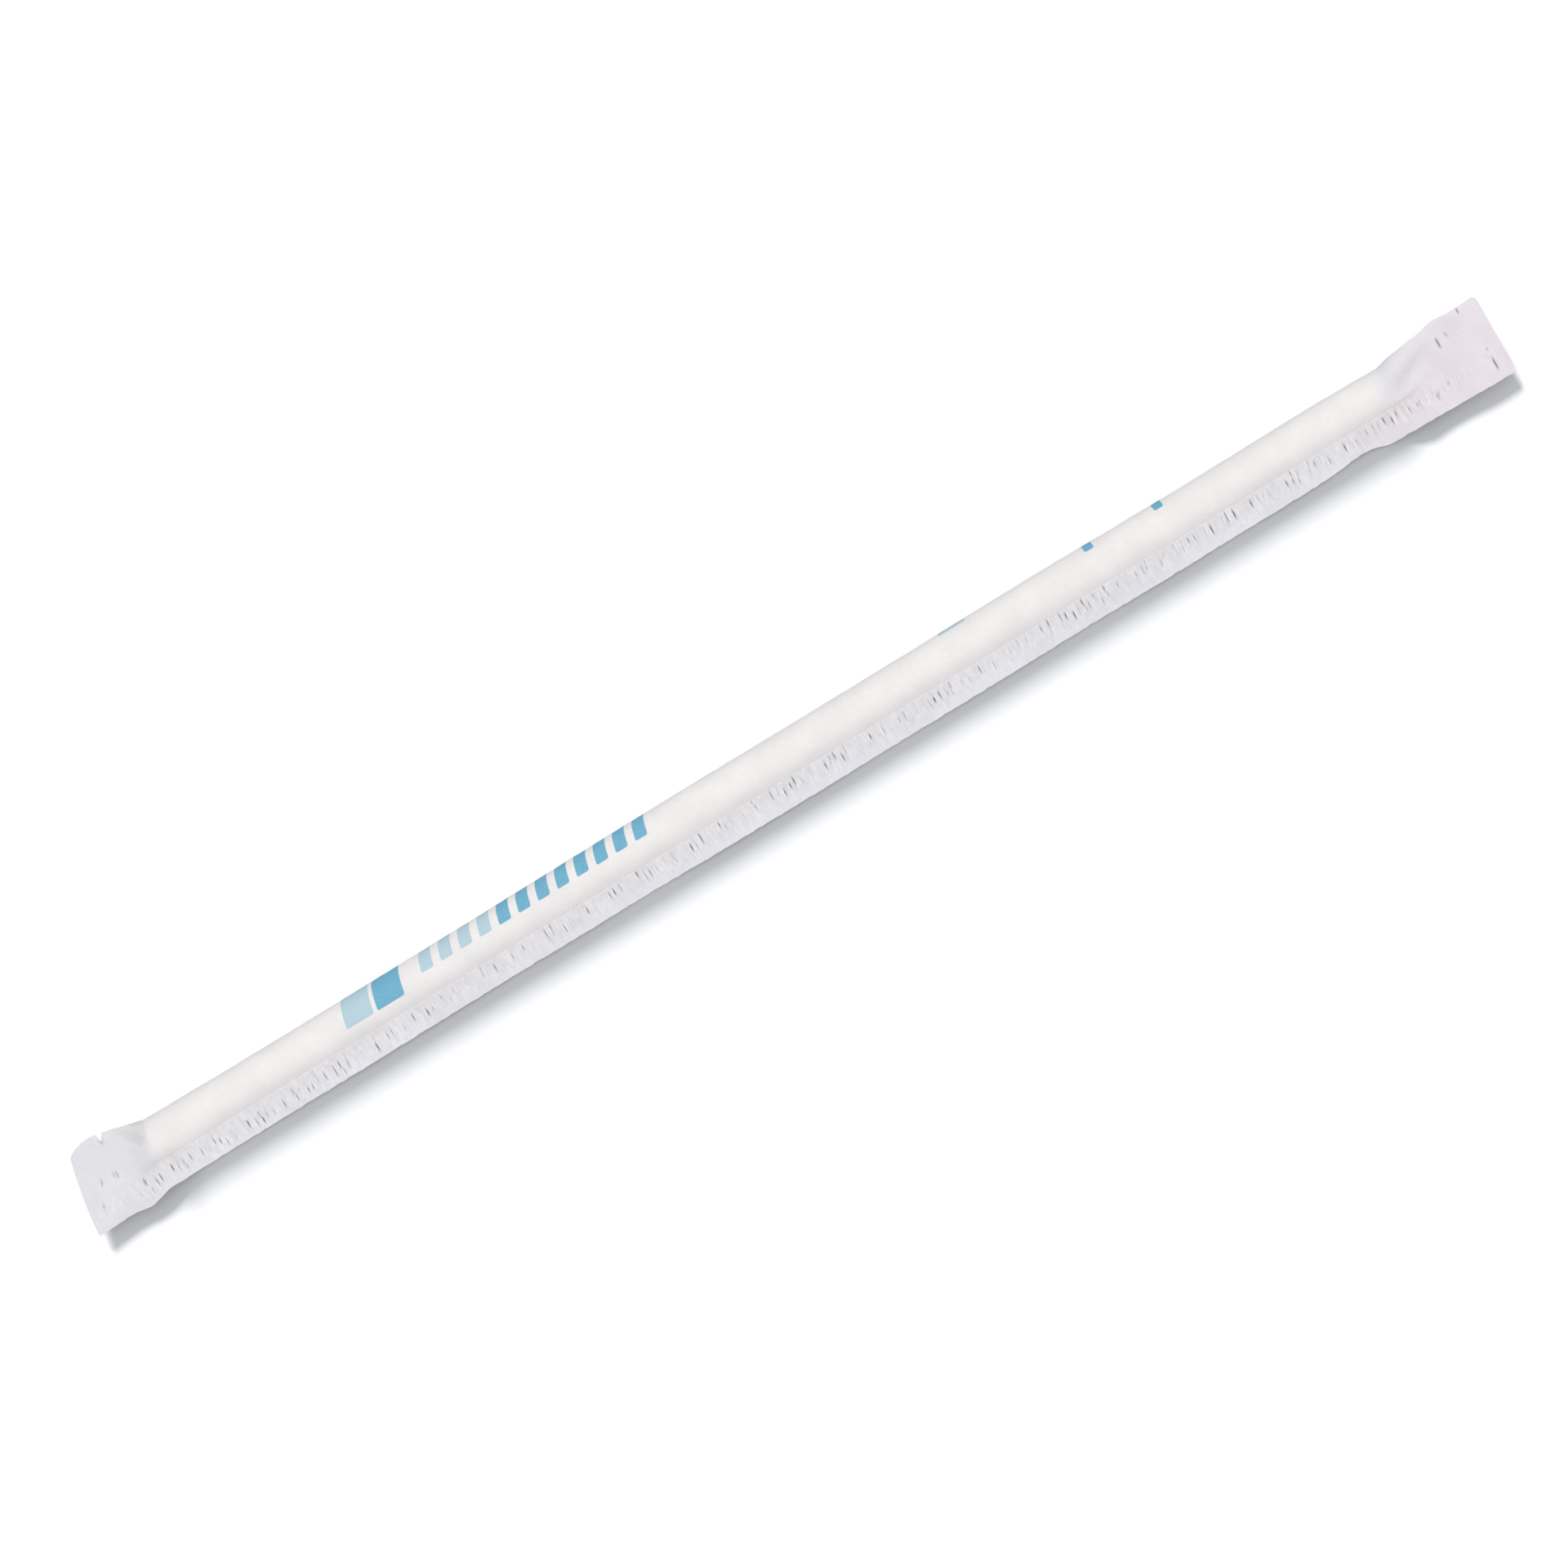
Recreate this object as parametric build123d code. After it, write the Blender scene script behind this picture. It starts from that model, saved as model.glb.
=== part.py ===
"""A drinking straw sealed in its paper wrapper, lying as it comes to rest on a flat surface.

The wrapper is one strip of paper folded lengthwise round the straw. Its two long edges are crimped
together into a flat seam strip along one side, and past each end of the straw it is pressed flat and
cut off. The pack is closed all round, so it is one solid. Lengths are in millimetres.

Two frames are used. The seam frame has X along the straw, its origin at the middle of the straw's
axis, -Y towards the seam strip and Z square to the plane that the strip and the flat ends share. The
part's own frame has the same X, with +Z up: the pack rolls about X until it rests on the round body
and on the lower edge of a flat end, and the origin is the bottom centre of the whole.
"""

import math
import os

from build123d import *

# The straw and the paper round it
STRAW_LENGTH = 197.0
STRAW_RADIUS = 2.95
PAPER_THICKNESS = 0.05

# The seam strip: two layers of paper pressed together
SEAM_THICKNESS = 0.2
SEAM_WIDTH = 4.1
CREASE_GAP = 0.1  # between the straw's side and the crease where the two layers meet

# The left end: how far it stands past the straw, and how it widens as it flattens
LEFT_OVERHANG = 13.4
LEFT_COLLAPSE = 5.4  # the length over which the round body flattens
LEFT_SEAM_SPREAD = 0.9  # how far the seam's edge moves out
LEFT_BACK_SPREAD = 2.0  # how far the back edge moves out
LEFT_SLANT = 2.3  # how much shorter the end is at its back edge
LEFT_SEAM_CORNER_RADIUS = 1.2
LEFT_BACK_CORNER_RADIUS = 2.4

# A small tear in the left end's back edge, with lips that curve in to its tip
TEAR_DISTANCE = 6.1  # from the end of the straw
TEAR_WIDTH = 1.4
TEAR_DEPTH = 1.4

# The right end, cut square. Its seam edge starts to widen before the straw ends
RIGHT_OVERHANG = 16.3
RIGHT_COLLAPSE = 8.4
RIGHT_SEAM_SPREAD = 0.8
RIGHT_BACK_SPREAD = 1.4
RIGHT_CORNER_RADIUS = 0.8
RIGHT_SPREAD_LEAD = 6.4  # how far before the straw's end the widening starts
RIGHT_SPREAD_LENGTH = 4.4

# Where a section's outline is split on its back side, so that round and flat sections match
BACK_SPLIT_ANGLE = 12.0

BODY_RADIUS = STRAW_RADIUS + PAPER_THICKNESS
CREASE_REACH = BODY_RADIUS + CREASE_GAP
SEAM_REACH = CREASE_REACH + SEAM_WIDTH
HALF_SEAM = SEAM_THICKNESS / 2
LEFT_RIM = -STRAW_LENGTH / 2
RIGHT_RIM = STRAW_LENGTH / 2
LEFT_CUT = LEFT_RIM - LEFT_OVERHANG
RIGHT_CUT = RIGHT_RIM + RIGHT_OVERHANG
CUT_MARGIN = 5.0  # how far a cutting tool runs past what it cuts


def polygon(points):
    """The closed run of lines through the points."""
    return [Line(a, b) for a, b in zip(points, points[1:] + points[:1])]


def section_plane(x):
    """The plane of a section at x: its own x runs along the seam frame's Y, and its own y along Z."""
    return Plane(origin=(x, 0, 0), x_dir=(0, 1, 0), z_dir=(1, 0, 0))


def on_body(angle):
    """A point of the round body's outline, at an angle in radians from the back."""
    return (BODY_RADIUS * math.cos(angle), BODY_RADIUS * math.sin(angle))


def body_section(x, seam_spread=0.0):
    """The round body's section: paper round the straw, drawn in to the crease, then the seam strip."""
    crease_distance = math.hypot(CREASE_REACH, HALF_SEAM)
    crease_angle = math.atan2(HALF_SEAM, CREASE_REACH)
    leave_angle = math.pi - crease_angle - math.acos(BODY_RADIUS / crease_distance)
    back_angle = math.radians(BACK_SPLIT_ANGLE)
    top_angle = (leave_angle + back_angle) / 2
    seam_reach = SEAM_REACH + seam_spread
    outline = [
        Line((-seam_reach, -HALF_SEAM), (-seam_reach, HALF_SEAM)),
        Line((-seam_reach, HALF_SEAM), (-CREASE_REACH, HALF_SEAM)),
        Line((-CREASE_REACH, HALF_SEAM), on_body(leave_angle)),
        ThreePointArc(on_body(leave_angle), on_body(top_angle), on_body(back_angle)),
        ThreePointArc(on_body(back_angle), on_body(0), on_body(-back_angle)),
        ThreePointArc(on_body(-back_angle), on_body(-top_angle), on_body(-leave_angle)),
        Line(on_body(-leave_angle), (-CREASE_REACH, -HALF_SEAM)),
        Line((-CREASE_REACH, -HALF_SEAM), (-seam_reach, -HALF_SEAM)),
    ]
    return section_plane(x) * make_face(outline)


def flat_section(x, seam_spread, back_spread):
    """A flat end's section: two layers of paper, with its outline split where the body's is."""
    seam_reach = SEAM_REACH + seam_spread
    back_reach = BODY_RADIUS + back_spread
    crease_reach = CREASE_REACH + seam_spread
    leave_reach = crease_reach - CREASE_GAP
    corners = [
        (-seam_reach, -HALF_SEAM),
        (-seam_reach, HALF_SEAM),
        (-crease_reach, HALF_SEAM),
        (-leave_reach, HALF_SEAM),
        (back_reach, HALF_SEAM),
        (back_reach, -HALF_SEAM),
        (-leave_reach, -HALF_SEAM),
        (-crease_reach, -HALF_SEAM),
    ]
    return section_plane(x) * make_face(polygon(corners))


def through_seam_plane(outline, thickness):
    """A plate centred on the seam plane, from its outline there."""
    return extrude(make_face(outline), amount=thickness / 2, both=True)


def cutter(outline):
    """A cutting tool that goes right through the pack, from its outline in the seam plane."""
    return through_seam_plane(outline, 4 * BODY_RADIUS)


def left_end_cutter():
    """Takes off the left end on a slant, with a rounded corner at each side."""
    along = Vector(1, 0)
    seam_corner = Vector(LEFT_CUT, -SEAM_REACH - LEFT_SEAM_SPREAD)
    back_corner = Vector(LEFT_CUT + LEFT_SLANT, BODY_RADIUS + LEFT_BACK_SPREAD)
    slant = (back_corner - seam_corner).normalized()
    seam_start = seam_corner + along * LEFT_SEAM_CORNER_RADIUS
    seam_finish = seam_corner + slant * LEFT_SEAM_CORNER_RADIUS
    back_start = back_corner - slant * LEFT_BACK_CORNER_RADIUS
    back_finish = back_corner + along * LEFT_BACK_CORNER_RADIUS
    outside = LEFT_CUT - CUT_MARGIN
    below = (0, -CUT_MARGIN)
    above = (0, CUT_MARGIN)
    outline = [
        Bezier(seam_start, seam_corner, seam_finish),
        Line(seam_finish, back_start),
        Bezier(back_start, back_corner, back_finish),
        Line(back_finish, back_finish + above),
        Line(back_finish + above, (outside, back_finish.Y + CUT_MARGIN)),
        Line((outside, back_finish.Y + CUT_MARGIN), (outside, seam_start.Y - CUT_MARGIN)),
        Line((outside, seam_start.Y - CUT_MARGIN), seam_start + below),
        Line(seam_start + below, seam_start),
    ]
    return cutter(outline)


def tear_cutter():
    """Opens the tear in the left end's back edge."""
    edge = BODY_RADIUS + LEFT_BACK_SPREAD
    middle = LEFT_RIM - TEAR_DISTANCE
    tip = (middle, edge - TEAR_DEPTH)
    left_lip = (middle - TEAR_WIDTH / 2, edge)
    right_lip = (middle + TEAR_WIDTH / 2, edge)
    outline = [
        Bezier(left_lip, (middle, edge), tip),
        Bezier(tip, (middle, edge), right_lip),
        Line(right_lip, (right_lip[0], edge + CUT_MARGIN)),
        Line((right_lip[0], edge + CUT_MARGIN), (left_lip[0], edge + CUT_MARGIN)),
        Line((left_lip[0], edge + CUT_MARGIN), left_lip),
    ]
    return cutter(outline)


def right_corner_cutter(side):
    """Rounds one corner of the right end's square cut: side is 1 at the back and -1 at the seam."""
    reach = BODY_RADIUS + RIGHT_BACK_SPREAD if side > 0 else SEAM_REACH + RIGHT_SEAM_SPREAD
    corner = Vector(RIGHT_CUT, side * reach)
    on_edge = corner - Vector(RIGHT_CORNER_RADIUS, 0)
    on_cut = corner - Vector(0, side * RIGHT_CORNER_RADIUS)
    middle = on_edge + on_cut - corner + (corner - on_edge + corner - on_cut) * math.sqrt(0.5)
    beyond_edge = Vector(0, side * CUT_MARGIN)
    beyond_cut = Vector(CUT_MARGIN, 0)
    outline = [
        ThreePointArc(on_edge, middle, on_cut),
        Line(on_cut, on_cut + beyond_cut),
        Line(on_cut + beyond_cut, corner + beyond_cut + beyond_edge),
        Line(corner + beyond_cut + beyond_edge, on_edge + beyond_edge),
        Line(on_edge + beyond_edge, on_edge),
    ]
    return cutter(outline)


def left_end():
    """The left end: it flattens from the straw's rim, and is cut on a slant and torn."""
    flat_start = LEFT_RIM - LEFT_COLLAPSE
    flat = flat_section(flat_start, LEFT_SEAM_SPREAD, LEFT_BACK_SPREAD)
    collapse = loft([body_section(LEFT_RIM), flat], ruled=True)
    tab = extrude(flat, amount=flat_start - LEFT_CUT, dir=(-1, 0, 0))
    return collapse + tab - left_end_cutter() - tear_cutter()


def right_end():
    """The right end: it flattens from the straw's rim, and is cut square."""
    flat_start = RIGHT_RIM + RIGHT_COLLAPSE
    flat = flat_section(flat_start, RIGHT_SEAM_SPREAD, RIGHT_BACK_SPREAD)
    collapse = loft([body_section(RIGHT_RIM, RIGHT_SEAM_SPREAD), flat], ruled=True)
    tab = extrude(flat, amount=RIGHT_CUT - flat_start, dir=(1, 0, 0))
    return collapse + tab - right_corner_cutter(1) - right_corner_cutter(-1)


def right_widening():
    """The piece of seam strip that widens before the straw's right end."""
    start = RIGHT_RIM - RIGHT_SPREAD_LEAD
    wide_reach = SEAM_REACH + RIGHT_SEAM_SPREAD
    points = [
        (start, -CREASE_REACH),
        (start, -SEAM_REACH),
        (start + RIGHT_SPREAD_LENGTH, -wide_reach),
        (RIGHT_RIM, -wide_reach),
        (RIGHT_RIM, -CREASE_REACH),
    ]
    return through_seam_plane(polygon(points), SEAM_THICKNESS)


def wrapped_straw():
    """The whole pack in the seam frame, as one solid."""
    body = extrude(body_section(LEFT_RIM), amount=STRAW_LENGTH, dir=(1, 0, 0))
    return body + right_widening() + left_end() + right_end()


def resting_roll():
    """The roll about X, in degrees, that brings the wider end's edge level with the body's underside."""
    reach = SEAM_REACH + max(LEFT_SEAM_SPREAD, RIGHT_SEAM_SPREAD)
    edge_distance = math.hypot(reach, HALF_SEAM)
    return math.degrees(math.asin(BODY_RADIUS / edge_distance) - math.atan2(HALF_SEAM, reach))


def laid_down(pack):
    """The pack rolled onto its seam side, with its bottom centre at the origin."""
    rolled = Rotation(resting_roll(), 0, 0) * pack
    box = rolled.bounding_box()
    return Pos(-box.center().X, -box.center().Y, -box.min.Z) * rolled


def main():
    """Builds the part and writes its one node."""
    os.makedirs("parts", exist_ok=True)
    pack = laid_down(wrapped_straw())
    export_step(pack, "parts/wrapped_straw.step")
    box = pack.bounding_box()
    print("roll", round(resting_roll(), 3), "degrees; box", box.min, box.max)
    print("solids", len(pack.solids()), "volume", round(pack.volume, 1), "centre", pack.center(CenterOf.MASS))


main()
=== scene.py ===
"""A drinking straw sealed in a crimped paper wrapper, lying on a pale floor in soft light.

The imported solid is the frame: its box gives the place and the roll of the pack. The wrapper that
replaces it is one folded sheet of thin paper, drawn in a seam frame that lies in the plane of the
crimped seam: x runs along the straw from its middle, p in that plane from the straw's axis towards
the seam's cut edge, and q square to the plane. Sizes are in millimetres until a mesh is made.
"""

import logging
import math
from dataclasses import dataclass
from enum import Enum

import bpy
import numpy as np
from mathutils import Euler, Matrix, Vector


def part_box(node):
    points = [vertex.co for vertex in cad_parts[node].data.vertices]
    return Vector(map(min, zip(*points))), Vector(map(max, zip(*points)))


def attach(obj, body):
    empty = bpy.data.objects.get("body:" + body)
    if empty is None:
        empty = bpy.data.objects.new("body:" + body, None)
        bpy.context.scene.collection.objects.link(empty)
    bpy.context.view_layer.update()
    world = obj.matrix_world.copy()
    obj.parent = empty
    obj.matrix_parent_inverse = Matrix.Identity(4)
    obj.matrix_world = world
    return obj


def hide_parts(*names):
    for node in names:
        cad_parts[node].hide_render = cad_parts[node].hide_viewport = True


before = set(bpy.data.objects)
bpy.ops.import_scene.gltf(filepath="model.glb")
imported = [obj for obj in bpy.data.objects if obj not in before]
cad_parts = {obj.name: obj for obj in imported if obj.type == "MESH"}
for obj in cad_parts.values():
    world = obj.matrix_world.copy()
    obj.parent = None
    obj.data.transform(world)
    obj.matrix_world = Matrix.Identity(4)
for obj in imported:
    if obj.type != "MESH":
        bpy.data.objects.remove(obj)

MM = 0.001
NODE = "wrapped_straw"
SHEET_UNIT = 256.0  # millimetres of paper to one unit of the sheet's UV map
# Of these marks, hollow and pinch carry painted shade and painted highlight.
MARKS = ("backing", "across", "crimp", "pinch", "hollow")  # each point's values, for crimp and paper
MATH = "ShaderNodeMath"
MAP_RANGE = "ShaderNodeMapRange"
RAMPS = ("LINEAR", "SMOOTHSTEP")
Knots = tuple[tuple[float, float], ...]
Array = np.ndarray
Grids = dict[str, Array]
log = logging.getLogger(NODE)


def linear_colour(code: str) -> tuple[float, float, float, float]:
    """Turns an sRGB hex colour to linear.

    Args:
        code: the colour as "#RRGGBB".

    Returns:
        Linear red, green, blue and an alpha of 1.
    """
    parts = [int(code[i : i + 2], 16) / 255 for i in (1, 3, 5)]
    return (*[c / 12.92 if c <= 0.04045 else ((c + 0.055) / 1.055) ** 2.4 for c in parts], 1.0)


def add_node(
    tree: bpy.types.NodeTree, kind: str, inputs: dict | None = None, **settings: object
) -> bpy.types.Node:
    """Adds one node of any kind, with its settings, values and links.

    Args:
        tree: the node tree to add to.
        kind: the node's type name.
        inputs: input name or number to a value, or to an output socket to link from.
        settings: the node's own properties.

    Returns:
        The new node.
    """
    node = tree.nodes.new(kind)
    for name, value in settings.items():
        setattr(node, name, value)
    for key, value in (inputs or {}).items():
        if isinstance(value, bpy.types.NodeSocket):
            tree.links.new(value, node.inputs[key])
        else:
            node.inputs[key].default_value = value
    return node


def add_chain(tree: bpy.types.NodeTree, known: dict, steps: tuple[tuple, ...]) -> None:
    """Adds nodes one after another, each fed by name from those before it.

    Args:
        tree: the node tree to add to.
        known: output sockets by name. The new nodes' outputs join it.
        steps: for each node its name, its operation or kind of ramp, and its inputs in order. An
            input is a name in known or a plain value.
    """
    for name, choice, *terms in steps:
        kind, option = (MAP_RANGE, "interpolation_type") if choice in RAMPS else (MATH, "operation")
        inputs = {number: known.get(term, term) for number, term in enumerate(terms)}
        known[name] = add_node(tree, kind, inputs, **{option: choice}).outputs[0]


def clean_tree(owner: bpy.types.Material | bpy.types.World) -> bpy.types.NodeTree:
    """Turns nodes on for a material or a world, and hands back its emptied tree."""
    owner.use_nodes = True
    owner.node_tree.nodes.clear()
    return owner.node_tree


def put_in_scene(name: str, data: bpy.types.ID) -> bpy.types.Object:
    """Makes an object of a mesh, a light or a camera, and links it to the scene."""
    thing = bpy.data.objects.new(name, data)
    bpy.context.scene.collection.objects.link(thing)
    return thing


def ease(t: Array) -> Array:
    """Rises smoothly from 0 to 1 as t does, and is flat outside."""
    t = np.clip(t, 0.0, 1.0)
    return t * t * (3.0 - 2.0 * t)


def curve_through(knots: Knots, at: Array) -> Array:
    """Reads a smooth curve through a few points.

    Args:
        knots: (place, value) pairs in rising order of place.
        at: the places to read.

    Returns:
        The curve's values there.
    """
    places, values = np.array(knots).T
    slopes = np.gradient(values, places)
    i = np.clip(np.searchsorted(places, at) - 1, 0, len(places) - 2)
    gap = places[i + 1] - places[i]
    t = np.clip((at - places[i]) / gap, 0.0, 1.0)
    start = values[i] * (1 + 2 * t) * (1 - t) ** 2 + slopes[i] * gap * t * (1 - t) ** 2
    return start + values[i + 1] * t**2 * (3 - 2 * t) - slopes[i + 1] * gap * t**2 * (1 - t)


def rounded(distance: Array, radius: float) -> Array:
    """How far a corner of that radius draws an edge in, at a distance from the cut."""
    inside = np.clip(radius - distance, 0, radius)
    return radius - np.sqrt(radius**2 - inside**2)


@dataclass(frozen=True)
class Ramp:
    """A smooth rise from 0 at its start to 1 a length further on."""

    start: float
    length: float

    def at(self, place: Array) -> Array:
        """How far the rise has come at a place."""
        return ease((place - self.start) / self.length)


@dataclass(frozen=True)
class Ripple:
    """A few waves in different directions, for paper that isn't quite flat.

    Its wavelengths run from shortest to longest, and seed fixes the waves' directions and phases.
    across is how fast it changes across the sheet, next to along it.
    """

    height: float
    shortest: float
    longest: float
    seed: int
    across: float = 1.0
    waves: int = 7
    widest_turn: float = 0.6
    usual_peak: float = 1.6

    def at(self, x: Array, y: Array | float = 0.0) -> Array:
        """Sums the waves.

        Args:
            x: places along the sheet.
            y: places across the sheet.

        Returns:
            A height from about -height to height.
        """
        rng = np.random.default_rng(self.seed)
        total = np.zeros(np.broadcast(x, y).shape)
        for length in np.geomspace(self.shortest, self.longest, self.waves):
            turn = rng.uniform(-self.widest_turn, self.widest_turn)
            phase = rng.uniform(0, 2 * math.pi)
            way = x * math.cos(turn) + y * self.across * math.sin(turn)
            total = total + np.sin(2 * math.pi * way / length + phase)
        return self.height * (total / math.sqrt(self.waves) / self.usual_peak)


@dataclass(frozen=True)
class StrawSizes:
    """The sizes of the round body and its seam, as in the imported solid."""

    straw_length: float = 197.0
    body_radius: float = 3.0
    crease_reach: float = 3.1
    seam_width: float = 4.1
    widest_seam_spread: float = 0.9
    seam_half: float = 0.1
    right_overhang: float = 16.3

    @property
    def half(self) -> float:
        """Half the straw's length, from its middle to a rim."""
        return self.straw_length / 2

    @property
    def widest_reach(self) -> float:
        """From the straw's axis to the edge that the pack leans on."""
        return self.crease_reach + self.seam_width + self.widest_seam_spread

    @property
    def roll(self) -> float:
        """How far the pack leans over onto its seam, in radians."""
        lean = math.asin(self.body_radius / math.hypot(self.widest_reach, self.seam_half))
        return lean - math.atan2(self.seam_half, self.widest_reach)


@dataclass(frozen=True)
class SeamFrame:
    """Where the seam frame stands in the part's frame, in millimetres."""

    x: float
    y: float
    z: float
    roll: float

    @classmethod
    def from_box(cls, sizes: StrawSizes, low: tuple[float, ...], high: tuple[float, ...]) -> "SeamFrame":
        """Finds the straw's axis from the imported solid's box.

        Args:
            sizes: the pack's sizes.
            low: the box's lowest corner, in metres.
            high: its highest corner.

        Returns:
            The seam frame.
        """
        lean = sizes.widest_reach * math.cos(sizes.roll) + sizes.seam_half * math.sin(sizes.roll)
        return cls(
            x=high[0] / MM - sizes.right_overhang - sizes.half,
            y=low[1] / MM + lean,
            z=low[2] / MM + sizes.body_radius,
            roll=sizes.roll,
        )

    @property
    def normal(self) -> tuple[float, float, float]:
        """The direction of q in the part's frame."""
        return (0.0, -math.sin(self.roll), math.cos(self.roll))

    def to_part(self, x: Array, p: Array, q: Array) -> Array:
        """Turns seam frame places to the part's frame.

        Args:
            x: along the straw.
            p: towards the seam's cut edge.
            q: square to the seam's plane.

        Returns:
            Points in metres, one a row.
        """
        across = -np.asarray(p)
        y = across * math.cos(self.roll) - q * math.sin(self.roll)
        z = across * math.sin(self.roll) + q * math.cos(self.roll)
        return np.stack([x + self.x, y + self.y, z + self.z], axis=-1) * MM


@dataclass(frozen=True)
class Pinch:
    """A short sharp pleat across an end of the wrapper.

    d is its distance past the straw's rim, p its middle in the seam frame, length its length along p,
    depth how far it is pressed in, and lean how far it slopes along the straw for each step along p.
    Towards its tips it fades as fullest less taper times the share of the way there falls from 1 to 0.
    """

    d: float
    p: float
    length: float
    depth: float
    lean: float = 0.0
    width: float = 0.13
    fullest: float = 1.6
    taper: float = 1.3

    def pressed(self, d: Array, p: Array) -> Array:
        """How far the pleat is pressed in at a place, from 0 to 1."""
        along = (p - self.p) / (self.length / 2)
        beside = d - self.d - self.lean * (p - self.p)
        return np.exp(-((beside / self.width) ** 2)) * ease(self.fullest - self.taper * np.abs(along))


@dataclass(frozen=True)
class Tear:
    """A small tear in the back edge, with lips that curve in to its tip.

    It leans towards the straw: steep is its width on the side of the cut, and wide on the straw's
    side. One lip curls up by curl. It lies lip_past the tip, and fades over lip_length along the
    straw and lip_reach in from the edge.
    """

    d: float = 6.2
    steep: float = 0.25
    wide: float = 0.75
    depth: float = 1.5
    sharpness: float = 1.5
    curl: float = 0.15
    lip_past: float = 0.8
    lip_length: float = 0.45
    lip_reach: float = 0.9

    def notch(self, d: Array) -> Array:
        """How far the tear cuts into the edge, d past the rim."""
        width = np.where(d > self.d, self.steep, self.wide)
        return self.depth * np.clip(1 - np.abs(d - self.d) / width, 0, 1) ** self.sharpness

    def lip(self, d: Array, from_edge: Array) -> Array:
        """How far the lip stands up, d past the rim and from_edge in from the back edge."""
        along = (d - self.d - self.lip_past) / self.lip_length
        return self.curl * np.exp(-(along**2) - (from_edge / self.lip_reach) ** 2)


@dataclass(frozen=True)
class WrapperEnd:
    """One end of the wrapper: its outline, and how the round body flattens into it.

    side is -1 for the left end and 1 for the right. The edges give the reach of each side from the
    straw's axis, by the distance past the rim, and fray roughens them. The cut runs straight between
    the two overhangs, but for a bulge in its middle. The upper layer keeps its height up to
    fall_start and lies flat from fall_stop on. Both are distances past the rim, by the share of the
    width from the crease to the back fold. The under layer is flat from flatten_under on.

    A valley runs out from the straw's mouth at the share valley_at. The seam's side of the end curls
    up off the floor by curl, more or less by curl_wave, once every curl_length. Painted shade greys the
    paper where the end is empty or slopes from the light: by mouth over the empty mouth, by valley_shade
    in the valley, by slack in the flat, and by facet_shade behind the line that facet draws, as shares of
    the width by distance.
    """

    side: int
    seam_overhang: float
    back_overhang: float
    seam_edge: Knots
    back_edge: Knots
    corner: float
    fray: Ripple
    wave: Ripple
    fall_start: Knots
    fall_stop: Knots
    flatten_under: float
    bulge: float = 0.0
    wave_rise: Ramp = Ramp(0.0, 7.0)
    edge_hold: int = 4
    curl: float = 1.75
    curl_wave: float = 0.12
    curl_length: float = 13.0
    curl_rise: Ramp = Ramp(-5.0, 8.0)
    backing_fade: Ramp = Ramp(-1.0, 3.0)
    valley_at: float = 0.5
    valley_drift: float = 0.02
    valley_width: float = 0.11
    valley_depth: float = 0.0
    # painted shade in the valley, as a share
    valley_shade: float = 0.0
    valley_rise: Ramp = Ramp(0.0, 1.5)
    valley_fall: Ramp = Ramp(5.0, 4.0)
    # painted shade over the empty mouth past the straw's rim
    mouth: float = 0.25
    mouth_height: Ramp = Ramp(0.0, 0.4)
    mouth_width: Ramp = Ramp(0.12, 0.3)
    # painted shade over the flat part of the end
    slack_shade: float = 0.0
    slack_rise: Ramp = Ramp(0.0, 4.0)
    facet: Knots = ()
    # painted shade behind the facet's line, where the end slopes away from the light
    facet_shade: float = 0.3
    facet_edge: Ramp = Ramp(0.0, 0.05)
    facet_rise: Ramp = Ramp(-0.2, 0.4)
    facet_fall: Ramp = Ramp(4.0, 1.2)
    tear: Tear | None = None
    pinches: tuple[Pinch, ...] = ()
    pinch_sink: float = 0.8
    darkest_pinch: float = 0.38

    def overhang(self, p: Array) -> Array:
        """How far the cut lies past the rim.

        Args:
            p: place in the seam's plane.

        Returns:
            The distance along the straw.
        """
        seam, back = self.seam_edge[-1][1], -self.back_edge[-1][1]
        share = (p - back) / (seam - back)
        bow = self.bulge * np.clip(4 * share * (1 - share), 0, 1)
        return self.back_overhang + (self.seam_overhang - self.back_overhang) * share + bow

    def seam_reach(self, t: Array) -> Array:
        """The seam edge's reach at the share t of the way to the cut, with its corner rounded."""
        reach = curve_through(self.seam_edge, t * self.seam_overhang)
        return reach - rounded((1 - t) * self.seam_overhang, self.corner)

    def back_reach(self, t: Array) -> Array:
        """The back edge's reach at the share t of the way to the cut, with its corner and tear."""
        d = t * self.back_overhang
        reach = curve_through(self.back_edge, d) - rounded((1 - t) * self.back_overhang, self.corner)
        return reach - self.tear.notch(d) if self.tear else reach

    def fullness(self, w: Array, d: Array) -> Array:
        """How much of its round height the upper layer keeps.

        Args:
            w: the share of the width from the crease to the back fold.
            d: distance past the rim.

        Returns:
            1 where it is round, 0 where it lies flat.
        """
        start, stop = curve_through(self.fall_start, w), curve_through(self.fall_stop, w)
        t = np.clip((d - start) / (stop - start), 0, 1)
        return 1 - (t + ease(t)) / 2

    def backing(self, w: Array, d: Array) -> Array:
        """How far the straw still backs the upper layer, from 1 on the straw to 0 past its mouth."""
        return 1 - self.backing_fade.at(d - curve_through(self.fall_start, w))

    def valley(self, w: Array, d: Array) -> Array:
        """The soft valley that runs out from the straw's mouth, from 0 outside it to 1 on its line."""
        line = self.valley_at + self.valley_drift * d
        across = np.exp(-(((w - line) / self.valley_width) ** 2))
        return across * self.valley_rise.at(d) * (1 - self.valley_fall.at(d))

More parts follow.
